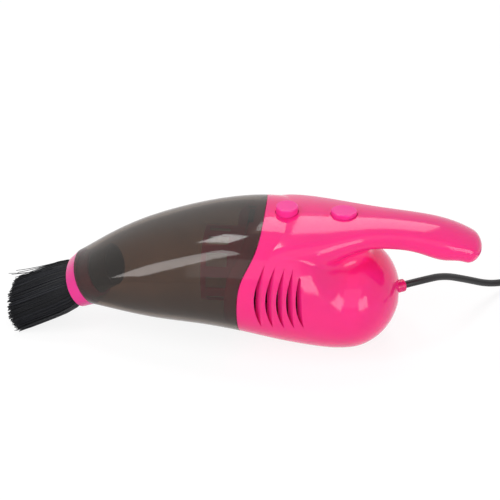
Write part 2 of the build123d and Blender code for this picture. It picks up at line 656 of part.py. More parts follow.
# ---------------------------------------------------------------- buttons, latch and switch
release_top = DECK_Z + BUTTON_PROUD
button = post(RELEASE_AT, release_flange, release_top, RELEASE_RADIUS)
button = button.fillet(BUTTON_EDGE, button.edges().group_by(Axis.Z)[-1])
button += post(RELEASE_AT, release_flange, release_flange + FLANGE_THICK, RELEASE_RADIUS + BUTTON_FLANGE)
button += post(RELEASE_AT, release_flange - STEM_LENGTH, release_flange + 0.5, STEM_RADIUS)
parts["release_button"] = button

spring_low = SHELF_Z + SHELF_THICK + BEARING_PLAY + SPRING_WIRE / 2
spring_high = release_flange - BEARING_PLAY - SPRING_WIRE / 2
spring_radius = STEM_RADIUS + SLIP + SPRING_WIRE
helix = Helix((spring_high - spring_low) / SPRING_TURNS, spring_high - spring_low, spring_radius)
helix = Pos(RELEASE_AT, 0, spring_low) * helix
wire_section = Plane(origin=helix @ 0, z_dir=helix % 0) * Circle(SPRING_WIRE / 2)
parts["release_spring"] = sweep(wire_section, path=helix)

arm_front = tooth_back - HOOK_LENGTH
arm_back = RELEASE_AT + RELEASE_RADIUS + BUTTON_FLANGE
arm = block((arm_front + arm_back) / 2, arm_z, release_flange, arm_back - arm_front, HOOK_WIDTH)
arm += block(HOOK_AT, arm_z, cup_under - HOOK_SHORT, HOOK_LENGTH, HOOK_WIDTH)
parts["latch_hook"] = arm - post(RELEASE_AT, 0, FAR, spring_radius + SPRING_WIRE)

flange_low = GRIP_TOP - HOUSING_WALL - POWER_DROP - FLANGE_THICK
power = upright_oval(POWER_AT, flange_low, GRIP_TOP + POWER_PROUD, POWER_LENGTH, POWER_WIDTH)
power = power.fillet(BUTTON_EDGE, power.edges().group_by(Axis.Z)[-1])
flange_size = (POWER_LENGTH + 2 * BUTTON_FLANGE, POWER_WIDTH + 2 * BUTTON_FLANGE)
power += upright_oval(POWER_AT, flange_low, flange_low + FLANGE_THICK, *flange_size)
parts["power_button"] = power
plunger_low = switch_top - PLUNGER_BITE
parts["switch_plunger"] = block(POWER_AT, plunger_low, flange_low, PLUNGER_SIDE, PLUNGER_SIDE)
switch = block(POWER_AT, switch_low, switch_top, SWITCH_SIDE, SWITCH_SIDE)
slot_low = plunger_low - POWER_TRAVEL - SLIP
slot_side = PLUNGER_SIDE + 2 * SLIP
parts["power_switch"] = switch - block(POWER_AT, slot_low, FAR, slot_side, slot_side)

# ---------------------------------------------------------------- wires, gland, cord and plug
terminal_x = motor_back + 0.2 + TERMINAL[2]
switch_front = POWER_AT - SWITCH_SIDE / 2
for name, side in (("wire_red", 1), ("wire_black", -1)):
    y = side * (TERMINAL_SPREAD - (TERMINAL[1] + WIRE_DIAMETER) / 2)
    route = [(terminal_x - 0.9, y, MOTOR_Z), (terminal_x - 0.8, y, MOTOR_Z + 12.5), (50.0, y, MOTOR_Z + 17.0),
             (37.0, y, MOTOR_Z + 21.0), (33.4, y * 0.8, switch_low - 3.0), (34.4, y * 0.7, switch_low + 1.2),
             (switch_front, y * 0.7, switch_low + 1.2)]
    parts[name] = tube(route, [radius * 0.8 for radius in bend_radii(route)], WIRE_DIAMETER)[0]

gland = extrude(gland_plane * Circle(GLAND_RADIUS), GLAND_DEPTH + GLAND_PROUD)
parts["cord_gland"] = gland.fillet(0.6, gland.edges().group_by(Axis.X)[-1])

cord_start = gland_root + gland_dir * GLAND_PROUD
cord_route = [tuple(cord_start), tuple(cord_start + gland_dir * FIRST_RUN)] + list(CORD_ROUTE)
radii = bend_radii(cord_route)
parts["cord"], cord_path = tube(cord_route, radii, CORD_DIAMETER)
tube_volume = math.pi * CORD_DIAMETER ** 2 / 4 * cord_path.length
print("cord bend radii", [round(radius, 1) for radius in radii])
volume_ratio = parts["cord"].volume / tube_volume
print("cord tube length", round(cord_path.length, 1), "volume ratio", round(volume_ratio, 4))

# The cord runs on into the coil along a tangent of its middle circle.
coil_outer = COIL_MIDDLE + COIL_WIDTH / 2
tangent_run = math.sqrt(coil_outer ** 2 - COIL_MIDDLE ** 2)
heading = (Vector(cord_route[-1]) - Vector(cord_route[-2])).normalized()
across = Vector(heading.Y, -heading.X, 0)
touch_down = Vector(cord_route[-1]) + heading * (tangent_run - COIL_JOIN)
coil_centre = Vector(touch_down.X, touch_down.Y, 0) + across * COIL_MIDDLE
coil_face = Pos(COIL_MIDDLE, COIL_HEIGHT / 2) * RectangleRounded(COIL_WIDTH, COIL_HEIGHT, COIL_EDGE)
parts["cord_coil"] = Pos(*coil_centre) * revolve(Plane.XZ * coil_face, Axis.Z)

lead_length = LEAD_RUN + COIL_JOIN
lead_plug = Pos(coil_centre.X, coil_centre.Y, PLUG_BODY[2] / 2) * Rot(0, 0, PLUG_YAW)
lead_from = tangent_run - COIL_JOIN
lead = Rot(0, 90, 0) * Cylinder(CORD_DIAMETER / 2, lead_length, align=STANDING)
parts["cord_lead"] = lead_plug * Pos(lead_from, COIL_MIDDLE, 0) * lead
coil_length = CORD_TOTAL - cord_path.length - lead_length
print("coil length", round(coil_length), "turns", round(coil_length / (2 * math.pi * COIL_MIDDLE), 1))

plug_frame = lead_plug * Pos(lead_from + lead_length, COIL_MIDDLE, 0)
body_from = PLUG_TAIL[0]
shell_from = body_from + PLUG_BODY[0]
forward = (Align.MIN, Align.CENTER, Align.CENTER)
tail = Rot(0, 90, 0) * Cone(PLUG_TAIL[1], PLUG_TAIL[1] + 0.8, PLUG_TAIL[0] + 0.5, align=STANDING)
grip_block = Pos(body_from, 0, 0) * Box(*PLUG_BODY, align=forward)
grip_block = grip_block.fillet(PLUG_EDGE, grip_block.edges().filter_by(Axis.X))
socket = Pos(shell_from - SHELL_BITE, 0, 0)
plug_hole = socket * Box(SHELL_BITE + 1, PLUG_SHELL[1], PLUG_SHELL[2], align=forward)
parts["usb_plug_body"] = plug_frame * (grip_block + tail - plug_hole)
sheath = socket * Box(PLUG_SHELL[0] + SHELL_BITE, PLUG_SHELL[1], PLUG_SHELL[2], align=forward)
bore = (PLUG_SHELL[0] + SHELL_BITE, PLUG_SHELL[1] - 2 * SHELL_THICK, PLUG_SHELL[2] - 2 * SHELL_THICK)
sheath -= socket * Pos(1, 0, 0) * Box(*bore, align=forward)
for side in (-1, 1):
    sheath -= Pos(shell_from + 6.0, side * 2.9, PLUG_SHELL[2] / 2) * Box(2.4, 2.2, 2 * SHELL_THICK + 0.6)
parts["usb_plug_shell"] = plug_frame * sheath
tongue_z = (TONGUE[2] - PLUG_SHELL[2]) / 2 + SHELL_THICK + TOUCH
parts["usb_plug_tongue"] = plug_frame * socket * Pos(1 + TOUCH, 0, tongue_z) * Box(*TONGUE, align=forward)

# ---------------------------------------------------------------- files
# The origin goes under the middle of the vacuum cleaner, cord left out.
rear = parts["housing_left"].bounding_box().max.X
front = parts["brush_bristles"].bounding_box().min.X
shift = -(rear + front) / 2
print("moved along X by", round(shift, 4))
os.makedirs("parts", exist_ok=True)
for name, shape in parts.items():
    export_step(Pos(shift, 0, 0) * shape, f"parts/{name}.step")
    print(name, len(shape.solids()), round(shape.volume, 1))
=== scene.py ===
"""A small handheld vacuum cleaner on a cord.

Adds the camera, the stage, the cord and its tie, the brush fibres, the release spring and all finishes to the
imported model. Lengths in capitals are in millimetres and angles in degrees, unless a comment says otherwise.
"""
import math

import bpy
import numpy as np
from bpy.props import FloatProperty, FloatVectorProperty, IntProperty, PointerProperty
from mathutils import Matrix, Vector


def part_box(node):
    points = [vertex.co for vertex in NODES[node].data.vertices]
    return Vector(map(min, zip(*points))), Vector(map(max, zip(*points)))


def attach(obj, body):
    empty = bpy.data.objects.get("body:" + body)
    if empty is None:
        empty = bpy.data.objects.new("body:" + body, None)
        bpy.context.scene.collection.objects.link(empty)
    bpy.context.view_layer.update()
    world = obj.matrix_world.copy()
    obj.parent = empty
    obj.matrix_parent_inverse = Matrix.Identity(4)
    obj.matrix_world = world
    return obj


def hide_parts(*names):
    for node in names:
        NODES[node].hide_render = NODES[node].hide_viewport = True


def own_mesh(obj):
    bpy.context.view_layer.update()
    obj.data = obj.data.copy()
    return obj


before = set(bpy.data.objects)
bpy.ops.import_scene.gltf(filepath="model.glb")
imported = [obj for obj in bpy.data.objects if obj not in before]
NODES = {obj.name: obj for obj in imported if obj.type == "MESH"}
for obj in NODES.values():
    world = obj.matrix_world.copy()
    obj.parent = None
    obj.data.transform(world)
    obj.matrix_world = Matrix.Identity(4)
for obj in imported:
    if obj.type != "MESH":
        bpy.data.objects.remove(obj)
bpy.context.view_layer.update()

bl_info = {
    "name": "Handheld Mini Vacuum",
    "version": (1, 0, 0),
    "blender": (4, 5, 0),
    "location": "3D View > Sidebar > Vacuum",
    "description": "Builds the camera, stage, cord, brush fibres and finishes of a handheld mini vacuum",
    "category": "Object",
}

MM = 0.001


class VacuumSizes(bpy.types.PropertyGroup):
    """Sizes that a user would change."""

    cord_width: FloatProperty(
        name="Cord width",
        description="Diameter of the cord's jacket",
        default=3.3 * MM,
        unit="LENGTH",
        subtype="DISTANCE",
    )
    cord_length: FloatProperty(
        name="Cord length",
        description="Whole length from housing to plug",
        default=1.0,
        unit="LENGTH",
        subtype="DISTANCE",
    )
    fibre_count: IntProperty(
        name="Fibres",
        description="Number of fibres in the brush",
        default=2300,
        min=100,
        max=3500,
    )
    fibre_width: FloatProperty(
        name="Fibre width",
        description="Thickness of one fibre at its root",
        default=0.56 * MM,
        unit="LENGTH",
        subtype="DISTANCE",
    )


class VacuumColours(bpy.types.PropertyGroup):
    """Colours of the finishes."""

    pink: FloatVectorProperty(
        name="Pink",
        description="Moulded housing",
        default=(0.95, 0.018, 0.215),
        subtype="COLOR",
        min=0,
        max=1,
    )
    trim: FloatVectorProperty(
        name="Trim",
        description="Nozzle ring and buttons",
        default=(0.8, 0.032, 0.27),
        subtype="COLOR",
        min=0,
        max=1,
    )
    smoke: FloatVectorProperty(
        name="Smoke",
        description="What the dust cup lets through",
        default=(0.87, 0.725, 0.63),
        subtype="COLOR",
        min=0,
        max=1,
    )
    fibre: FloatVectorProperty(
        name="Fibre",
        description="Brush fibres",
        default=(0.0035, 0.0037, 0.0055),
        subtype="COLOR",
        min=0,
        max=1,
    )
    cord: FloatVectorProperty(
        name="Cord",
        description="Cord jacket",
        default=(0.008, 0.007, 0.008),
        subtype="COLOR",
        min=0,
        max=1,
    )


# ---------------------------------------------------------------- materials
BLACK = (0.014, 0.014, 0.016)
IVORY = (0.74, 0.7, 0.6)
RUBBER = (0.02, 0.02, 0.021)
CLOTH_DARK = (0.62, 0.56, 0.5)
CLOTH_LIGHT = (0.84, 0.8, 0.74)
STEEL = (0.62, 0.62, 0.64)
FERRITE = (0.05, 0.05, 0.055)
WINDINGS = (0.32, 0.16, 0.08)
BRASS = (0.75, 0.5, 0.2)
SLEEVE_RED = (0.45, 0.012, 0.01)
SLEEVE_BLACK = (0.02, 0.02, 0.022)
GLAND_PAINTED_SHADE = 0.8  # painted shade: the gland's pink darkened against the housing's
BUTTON_SHADE = 1.18  # the buttons' pink against the ring's


class Nodes:
    """The shader nodes of a material or the world, with short ways to add and link them."""

    def __init__(self, holder, output="ShaderNodeOutputMaterial"):
        holder.use_nodes = True
        self.holder = holder
        self.tree = holder.node_tree
        self.tree.nodes.clear()
        self.output = self.tree.nodes.new(output)

    def add(self, kind, **attributes):
        """New node with its attributes set."""
        node = self.tree.nodes.new(kind)
        for key, value in attributes.items():
            setattr(node, key, value)
        return node

    def link(self, source, target):
        """Link from an output socket to an input socket."""
        self.tree.links.new(source, target)

    def mix(self, factor, first, second):
        """Mix Shader on the output: first where the factor is 0, second where it is 1."""
        node = self.add("ShaderNodeMixShader")
        self.link(factor, node.inputs["Fac"])
        self.link(first.outputs[0], node.inputs[1])
        self.link(second.outputs[0], node.inputs[2])
        self.link(node.outputs[0], self.output.inputs["Surface"])

    def place(self, scale=(1, 1, 1), source="Object"):
        """Texture space: Object (or UV) coordinates through a Mapping node."""
        coordinates = self.add("ShaderNodeTexCoord")
        mapping = self.add("ShaderNodeMapping")
        mapping.inputs["Scale"].default_value = scale
        self.link(coordinates.outputs[source], mapping.inputs["Vector"])
        return mapping.outputs["Vector"]

    def noise(self, where, scale, detail=2.0, roughness=0.5):
        """Noise Texture, scale in waves a metre."""
        node = self.add("ShaderNodeTexNoise")
        node.inputs["Scale"].default_value = scale
        node.inputs["Detail"].default_value = detail
        node.inputs["Roughness"].default_value = roughness
        self.link(where, node.inputs["Vector"])
        return node.outputs["Fac"]

    def spread(self, value, low, high, start=0.3, end=0.7):
        """Map Range: value from start..end to low..high."""
        node = self.add("ShaderNodeMapRange")
        node.inputs["From Min"].default_value = start
        node.inputs["From Max"].default_value = end
        node.inputs["To Min"].default_value = low
        node.inputs["To Max"].default_value = high
        self.link(value, node.inputs["Value"])
        return node.outputs["Result"]

    def shade(self, value, dark, light):
        """Mix of two colours by a value."""
        node = self.add("ShaderNodeMix", data_type="RGBA")
        node.inputs["A"].default_value = (*dark, 1)
        node.inputs["B"].default_value = (*light, 1)
        self.link(value, node.inputs["Factor"])
        return node.outputs["Result"]

    def bump(self, height, strength, distance):
        """Bump node, distance in metres."""
        node = self.add("ShaderNodeBump")
        node.inputs["Strength"].default_value = strength
        node.inputs["Distance"].default_value = distance
        self.link(height, node.inputs["Height"])
        return node.outputs["Normal"]

    def surface(self, **values):
        """Principled surface: numbers and colours set its sockets, other values are linked."""
        node = self.add("ShaderNodeBsdfPrincipled")
        for key, value in values.items():
            socket = node.inputs[key.replace("_", " ")]
            if isinstance(value, (int, float)):
                socket.default_value = value
            elif isinstance(value, tuple):
                socket.default_value = (*value, 1)
            else:
                self.link(value, socket)
        self.link(node.outputs["BSDF"], self.output.inputs["Surface"])
        return node


def new_material(name):
    """Nodes of a new material."""
    return Nodes(bpy.data.materials.new(name))


def scaled(colour, factor):
    """Colour times a factor, each channel at most 1."""
    return tuple(min(1.0, channel * factor) for channel in colour)


def gloss_plastic(name, colour, rough=0.1):
    """Polished moulded plastic: faint flow marks in the colour, uneven polish, a fine orange peel."""
    m = new_material(name)
    where = m.place()
    flow = m.noise(where, scale=38.0, detail=3.0)
    polish = m.noise(where, scale=160.0, detail=3.0)
    peel = m.noise(where, scale=1400.0, detail=1.0)
    tint = m.shade(m.spread(flow, 0, 1), scaled(colour, 0.965), scaled(colour, 1.03))
    m.surface(
        Base_Color=tint,
        Roughness=m.spread(polish, rough - 0.03, rough + 0.045),
        IOR=1.5,
        Specular_IOR_Level=0.32,
        Subsurface_Weight=0.15,
        Subsurface_Scale=0.006,
        Normal=m.bump(peel, strength=0.06, distance=0.00003),
    )
    return m.holder


def satin_plastic(name, colour, rough=0.42, grain=2600.0):
    """Lightly textured moulded plastic with a fine spark-eroded grain."""
    m = new_material(name)
    where = m.place()
    cloud = m.noise(where, scale=60.0, detail=3.0)
    fine = m.noise(where, scale=grain)
    tint = m.shade(m.spread(cloud, 0, 1), scaled(colour, 0.9), scaled(colour, 1.12))
    m.surface(
        Base_Color=tint,
        Roughness=m.spread(fine, rough - 0.06, rough + 0.08),
        Specular_IOR_Level=0.35,
        Normal=m.bump(fine, strength=0.35, distance=0.00005),
    )
    return m.holder


def smoke_plastic(name, colour):
    """Smoke-tinted clear plastic: part of the light passes each face and takes the tint, less where the face
    is seen edge on; the rest meets a dark, well polished body."""
    m = new_material(name)
    where = m.place()
    cloud = m.noise(where, scale=42.0, detail=3.0)
    polish = m.noise(where, scale=240.0)
    clear = m.add("ShaderNodeBsdfTransparent")
    tint = m.shade(m.spread(cloud, 0, 1), scaled(colour, 0.95), scaled(colour, 1.05))
    m.link(tint, clear.inputs["Color"])
    body = m.surface(
        Base_Color=m.shade(m.spread(cloud, 0, 1), scaled(colour, 0.012), scaled(colour, 0.018)),
        Roughness=m.spread(polish, 0.05, 0.09),
        IOR=1.55,
        Specular_IOR_Level=0.65,
    )
    edge = m.add("ShaderNodeLayerWeight")
    edge.inputs["Blend"].default_value = 0.35
    m.mix(m.spread(edge.outputs["Facing"], low=0.47, high=0.86, start=0.1, end=0.95), clear, body)
    return m.holder


def bare_metal(name, colour, rough=0.28, stretch=(1, 1, 1)):
    """Metal with fine drawn lines and uneven polish."""
    m = new_material(name)
    where = m.place(stretch)
    lines = m.noise(where, scale=900.0, detail=3.0)
    cloud = m.noise(where, scale=70.0)
    tint = m.shade(m.spread(cloud, 0, 1), scaled(colour, 0.88), scaled(colour, 1.06))
    m.surface(
        Base_Color=tint,
        Metallic=1.0,
        Roughness=m.spread(lines, rough - 0.07, rough + 0.1),
        Normal=m.bump(lines, strength=0.12, distance=0.00003),
    )
    return m.holder


def filter_fabric(name):
    """Non-woven filter cloth: matted fibres at two scales."""
    m = new_material(name)
    where = m.place()
    mat = m.noise(where, scale=900.0, detail=5.0, roughness=0.7)
    patch = m.noise(where, scale=160.0, detail=3.0)
    tint = m.shade(m.spread(patch, 0, 1), CLOTH_DARK, CLOTH_LIGHT)
    m.surface(Base_Color=tint, Roughness=0.92, Normal=m.bump(mat, strength=0.8, distance=0.0003))
    return m.holder


def fibre_nylon(name, colour):
    """Nylon brush fibre: each one a little lighter or darker, by its own UV column, duller at the tip."""
    m = new_material(name)
    where = m.place(source="UV")
    parts = m.add("ShaderNodeSeparateXYZ")
    m.link(where, parts.inputs["Vector"])
    m.surface(
        Base_Color=m.shade(parts.outputs["X"], scaled(colour, 0.55), scaled(colour, 2.6)),
        Roughness=m.spread(parts.outputs["Y"], low=0.36, high=0.6, start=0, end=1),
        Specular_IOR_Level=0.28,
    )
    return m.holder


def cord_jacket(name, colour):
    """Soft jacket: a fine grain and a slight dusting."""
    m = new_material(name)
    where = m.place()
    dust = m.noise(where, scale=220.0, detail=4.0)
    fine = m.noise(where, scale=1800.0)
    tint = m.shade(m.spread(dust, 0, 1), scaled(colour, 0.8), scaled(colour, 1.35))
    m.surface(
        Base_Color=tint,
        Roughness=m.spread(dust, 0.38, 0.5),
        Specular_IOR_Level=0.4,
        Normal=m.bump(fine, strength=0.25, distance=0.00005),
    )
    return m.holder


def give(material, *names):
    """Puts the material into the only slot of each CAD node."""
    for name in names:
        NODES[name].data.materials.clear()
        NODES[name].data.materials.append(material)


class VACUUM_OT_finishes(bpy.types.Operator):
    """Gives every CAD node its finish"""

    bl_idname = "vacuum.finishes"
    bl_label = "Finishes"

    def execute(self, context):
        colours = context.scene.vacuum_colours
        pink, trim = tuple(colours.pink), tuple(colours.trim)
        give(gloss_plastic("pink_gloss_moulding", pink), "housing_left", "housing_right")
        # The gland gets the housing's pink darkened by a factor, as painted shade.
        give(gloss_plastic("pink_gland_moulding_painted_shade", scaled(pink, GLAND_PAINTED_SHADE), 0.25), "cord_gland")
        give(gloss_plastic("pink_ring_moulding", trim, 0.18), "nozzle_ring")
        buttons = gloss_plastic("pink_button_moulding", scaled(trim, BUTTON_SHADE), 0.2)
        give(buttons, "release_button", "power_button")
        give(satin_plastic("pink_inner_moulding", pink, 0.3), "filter_seat", "filter_frame")
        give(smoke_plastic("smoke_clear_moulding", tuple(colours.smoke)), "dust_cup")
        black = satin_plastic("black_moulding", BLACK)
        give(black, "brush_base", "inlet_duct", "motor_mount", "latch_hook", "power_switch")
        ivory = satin_plastic("ivory_moulding", IVORY, 0.38)
        give(ivory, "fan_impeller", "motor_end_cap", "switch_plunger", "usb_plug_tongue")
        give(filter_fabric("filter_cloth_white"), "filter_cloth")
        steel = bare_metal("steel_drawn", STEEL)
        give(steel, "housing_screws", "motor_shaft", "motor_can", "usb_plug_shell")
        give(bare_metal("ferrite_dark", FERRITE, 0.5), "motor_magnets")
        give(bare_metal("rotor_iron_windings", WINDINGS, 0.4, (0.2, 1, 1)), "motor_rotor")
        give(bare_metal("brass_terminals", BRASS, 0.3), "motor_terminals")
        give(cord_jacket("wire_red_sleeve", SLEEVE_RED), "wire_red")
        give(cord_jacket("wire_black_sleeve", SLEEVE_BLACK), "wire_black")
        give(cord_jacket("plug_moulding", tuple(colours.cord)), "usb_plug_body")
        return {"FINISHED"}


# ---------------------------------------------------------------- pieces
def add_piece(name, points, faces):
    """New object with a smooth mesh of these points, in metres, and faces."""
    mesh = bpy.data.meshes.new(name)
    mesh.from_pydata(points, [], faces)
    mesh.update()
    mesh.shade_smooth()
    piece = bpy.data.objects.new(name, mesh)
    bpy.context.scene.collection.objects.link(piece)
    return piece


# ---------------------------------------------------------------- cord and tie
# The route's points: out of the gland, down to the table and along it to the coil.
ROUTE = (
    (72.205, 1.3, 27.205),
    (80.433, 6.05, 27.205),
    (89.917, 16.5, 23.6),
    (100.917, 28.0, 14.8),
    (112.417, 38.6, 5.9),
    (124.917, 50.0, 1.75),
    (129.4, 58.3, 1.75),
)
# The coil: two flat layers of turns, inwards along the table and outwards on top.
COIL_CENTRE = (157.2, 54.0)
COIL_INNER = 13.1  # radius of the innermost turn
COIL_TURNS = 3.567  # turns in one layer
COIL_CLIMB = 0.25  # share of a turn between the layers
COIL_ENTRY = 140.0  # angle where the cord comes in
TURN_POINTS = 14
FLOOR_GAP = 0.32
# From the coil into the plug.
LEAD = ((182.0, 45.0, 4.75), (181.35, 33.0, 4.2), (183.14, 25.3, 4.0))
LINE_STEPS = 10  # steps of the line between two points
JACKET_STEPS = 5  # bevel resolution of the round section

TIE_ANGLE = 60.0  # place on the coil
TIE_WIDTH = 6.0
TIE_THICK = 0.3
TIE_SLACK = 0.35
TIE_STEPS = 64
TIE_ROWS = 4


def coil_points(width):
    """Coil turns: the angle falls evenly, the radius falls by one cord width a turn in the lower layer,
    stays while the cord climbs to the upper layer, and grows again by one width a turn there. The height
    climbs by a smooth step, 3 t^2 - 2 t^3. The line cuts inside its points, so they lie as much further out."""
    turns = 2 * COIL_TURNS + COIL_CLIMB
    t = np.linspace(0, turns, int(round(turns * TURN_POINTS)) + 1)
    inwards = np.clip(COIL_TURNS - t, 0, None)
    outwards = np.clip(t - COIL_TURNS - COIL_CLIMB, 0, None)
    flattening = 0.75 + 0.25 * math.cos(2 * math.pi / TURN_POINTS)
    radius = (COIL_INNER + width * (inwards + outwards)) / flattening
    climb = np.clip((t - COIL_TURNS) / COIL_CLIMB, 0, 1)
    height = width / 2 + FLOOR_GAP + width * climb * climb * (3 - 2 * climb)
    angle = np.radians(COIL_ENTRY - 360 * t)
    x = COIL_CENTRE[0] + radius * np.cos(angle)
    y = COIL_CENTRE[1] + radius * np.sin(angle)
    return np.column_stack([x, y, height])


def boxy(wave):
    """Cube root of a sine or cosine, its sign kept, which turns a circle into a superellipse of the sixth
    degree, |x|^6 + |y|^6 = 1."""
    return np.sign(wave) * np.abs(wave) ** (1 / 3)


def tie_surface(width):
    """Band round the coil's bundle. Across the bundle it is a superellipse of the sixth degree, as wide and as
    high as the turns and a little slack; along the turns it is straight."""
    u = np.linspace(0, 2 * math.pi, TIE_STEPS, endpoint=False)
    middle = COIL_INNER + width * COIL_TURNS / 2
    half = width * (COIL_TURNS + 1) / 2 + TIE_SLACK
    across = middle + half * boxy(np.cos(u))
    height = width + FLOOR_GAP + (width + TIE_THICK) * boxy(np.sin(u))
    along = np.linspace(-TIE_WIDTH / 2, TIE_WIDTH / 2, TIE_ROWS)
    c, s = math.cos(math.radians(TIE_ANGLE)), math.sin(math.radians(TIE_ANGLE))
    x = COIL_CENTRE[0] + across[:, None] * c - along[None, :] * s
    y = COIL_CENTRE[1] + across[:, None] * s + along[None, :] * c
    points = np.stack([x, y, height[:, None] + 0 * along], 2).reshape(-1, 3) * MM
    ring, row = np.arange(TIE_STEPS)[:, None], np.arange(TIE_ROWS - 1)[None, :]
    start, after = ring * TIE_ROWS + row, (ring + 1) % TIE_STEPS * TIE_ROWS + row
    return points, np.stack([start, start + 1, after + 1, after], 2).reshape(-1, 4)


class VACUUM_OT_tie(bpy.types.Operator):
    """Wraps a flat rubber band round the coil's bundle of turns"""

    bl_idname = "vacuum.tie"
    bl_label = "Coil tie"

    def execute(self, context):
        tie = add_piece("coil_tie", *tie_surface(context.scene.vacuum_sizes.cord_width / MM))
        wall = tie.modifiers.new("wall", "SOLIDIFY")
        wall.thickness = TIE_THICK * MM
        wall.offset = -1
        tie.data.materials.append(satin_plastic("tie_rubber", RUBBER, 0.6, 1500.0))
        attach(tie, "housing")
        return {"FINISHED"}


class VACUUM_OT_cord(bpy.types.Operator):
    """Lays the cord from the gland to the table, round its coil and into the plug"""

    bl_idname = "vacuum.cord"
    bl_label = "Cord"

    def execute(self, context):
        sizes = context.scene.vacuum_sizes
        points = np.vstack([ROUTE, coil_points(sizes.cord_width / MM), LEAD]) * MM
        curve = bpy.data.curves.new("cord_line", "CURVE")
        curve.dimensions = "3D"
        spline = curve.splines.new("NURBS")
        spline.points.add(len(points) - 1)
        spline.points.foreach_set("co", np.column_stack([points, np.ones(len(points))]).ravel())
        spline.use_endpoint_u = True
        spline.order_u = 3
        spline.resolution_u = LINE_STEPS
        curve.bevel_depth = sizes.cord_width / 2
        curve.bevel_resolution = JACKET_STEPS
        curve.use_fill_caps = True
        cord = bpy.data.objects.new("supply_cord", curve)
        context.scene.collection.objects.link(cord)
        curve.materials.append(cord_jacket("cord_jacket_black", tuple(context.scene.vacuum_colours.cord)))
        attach(cord, "housing")
        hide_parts("cord", "cord_coil", "cord_lead")
        return {"FINISHED"}


# ---------------------------------------------------------------- brush
# Nozzle axis: middle of the ring's rear face (x, z) and the tilt down to the table.
RING_CENTRE = (-71.5835, 23.978)
NOZZLE_TILT = 32.0
# The tuft along that axis, and half its width and height at the roots and at the tips.
FIBRE_ROOT = 3.6
FIBRE_LENGTH = 34.0
ROOT_HALF = (13.1, 7.75)
TIP_HALF = (15.4, 9.0)
BRUSH_LIFT = 2.6  # how far the tuft's middle rises towards the tips
LIP = 0.055  # share of a fibre that stands straight, until it is out of the ring
FIBRE_STATIONS = (0, LIP, 0.17, 0.33, 0.5, 0.67, 0.83, 1)  # sections, as shares of a fibre
FIBRE_SIDES = 4
FLARE = 8  # how fast the tuft widens past the lip
FULLNESS = 3  # degree of the superellipse at the tips
THINNING = 0.45  # share of its width that a fibre loses towards the tip
SEED = 7
ROOT_SCATTER = 0.012  # of the roots, as a share of the tuft
CLUMPS = 60
CLUMP_LEAN = 0.32
FIBRE_LEAN = 0.2
UPPER_CUT = 0.045  # share that the upper fibres are shorter and the lower ones longer
LENGTH_SCATTER = 0.012
STRAYS = 5
STRAY_SIDE = (0.6, 0.8)  # direction in which the stray fibres stand off
STRAY_EDGE = 0.9  # they start past this share of the tuft
STRAY_LEAN = (1.6, 5.6)
TABLE_GAP = 0.15  # least height of a fibre over the table
TABLE_SCATTER = 0.35
TABLE_BEND = 3  # how sharply the fibres bend at the table


def fibre_lines(count):
    """Fibre centre lines in the nozzle's own axes (along, side, rise), as arrays count x stations.
    Roots lie on a sunflower spiral in the oval. Past the ring's lip the oval widens fast, as 1 - (1 - t)^8,
    towards a superellipse of the third degree, and its middle rises evenly. Each clump of fibres leans by its
    own random amount, growing with the square of the way along, and ends at its own length. A few strays
    stand off the upper edge."""
    random = np.random.default_rng(SEED)
    order = np.arange(count) + 0.5
    ring, turn = np.sqrt(order / count), order * math.pi * (3 - math.sqrt(5))
    spot = np.column_stack([ring * np.cos(turn), ring * np.sin(turn)])
    spot += random.normal(0, ROOT_SCATTER, spot.shape)
    centres = random.uniform(-1, 1, (CLUMPS, 2))
    clump = ((spot[:, None] - centres[None]) ** 2).sum(2).argmin(1)
    lean = random.normal(0, CLUMP_LEAN, (CLUMPS, 2))[clump] + random.normal(0, FIBRE_LEAN, (count, 2))
    length = 1 - UPPER_CUT * spot[:, 1]
    length = length + random.normal(0, LENGTH_SCATTER, CLUMPS)[clump] + random.normal(0, LENGTH_SCATTER, count)
    upper = np.flatnonzero(spot @ STRAY_SIDE > STRAY_EDGE)
    stray = random.choice(upper, STRAYS, replace=False)
    lean[stray] += np.array(STRAY_SIDE) * np.linspace(*STRAY_LEAN, STRAYS)[:, None]
    t = np.array(FIBRE_STATIONS)[None, :]
    past = np.clip((t - LIP) / (1 - LIP), 0, 1)
    flare = 1 - (1 - past) ** FLARE
    outline = (np.abs(np.cos(turn)) ** FULLNESS + np.abs(np.sin(turn)) ** FULLNESS) ** (-1 / FULLNESS)
    corner = 1 + (outline[:, None] - 1) * flare
    half = [(root + (tip - root) * flare) * corner for root, tip in zip(ROOT_HALF, TIP_HALF)]
    along = FIBRE_ROOT + FIBRE_LENGTH * length[:, None] * t
    side = half[0] * spot[:, :1] + lean[:, :1] * past**2
    rise = half[1] * spot[:, 1:] + lean[:, 1:] * past**2 + BRUSH_LIFT * past
    return along, side, rise, random.uniform(0, 1, count)


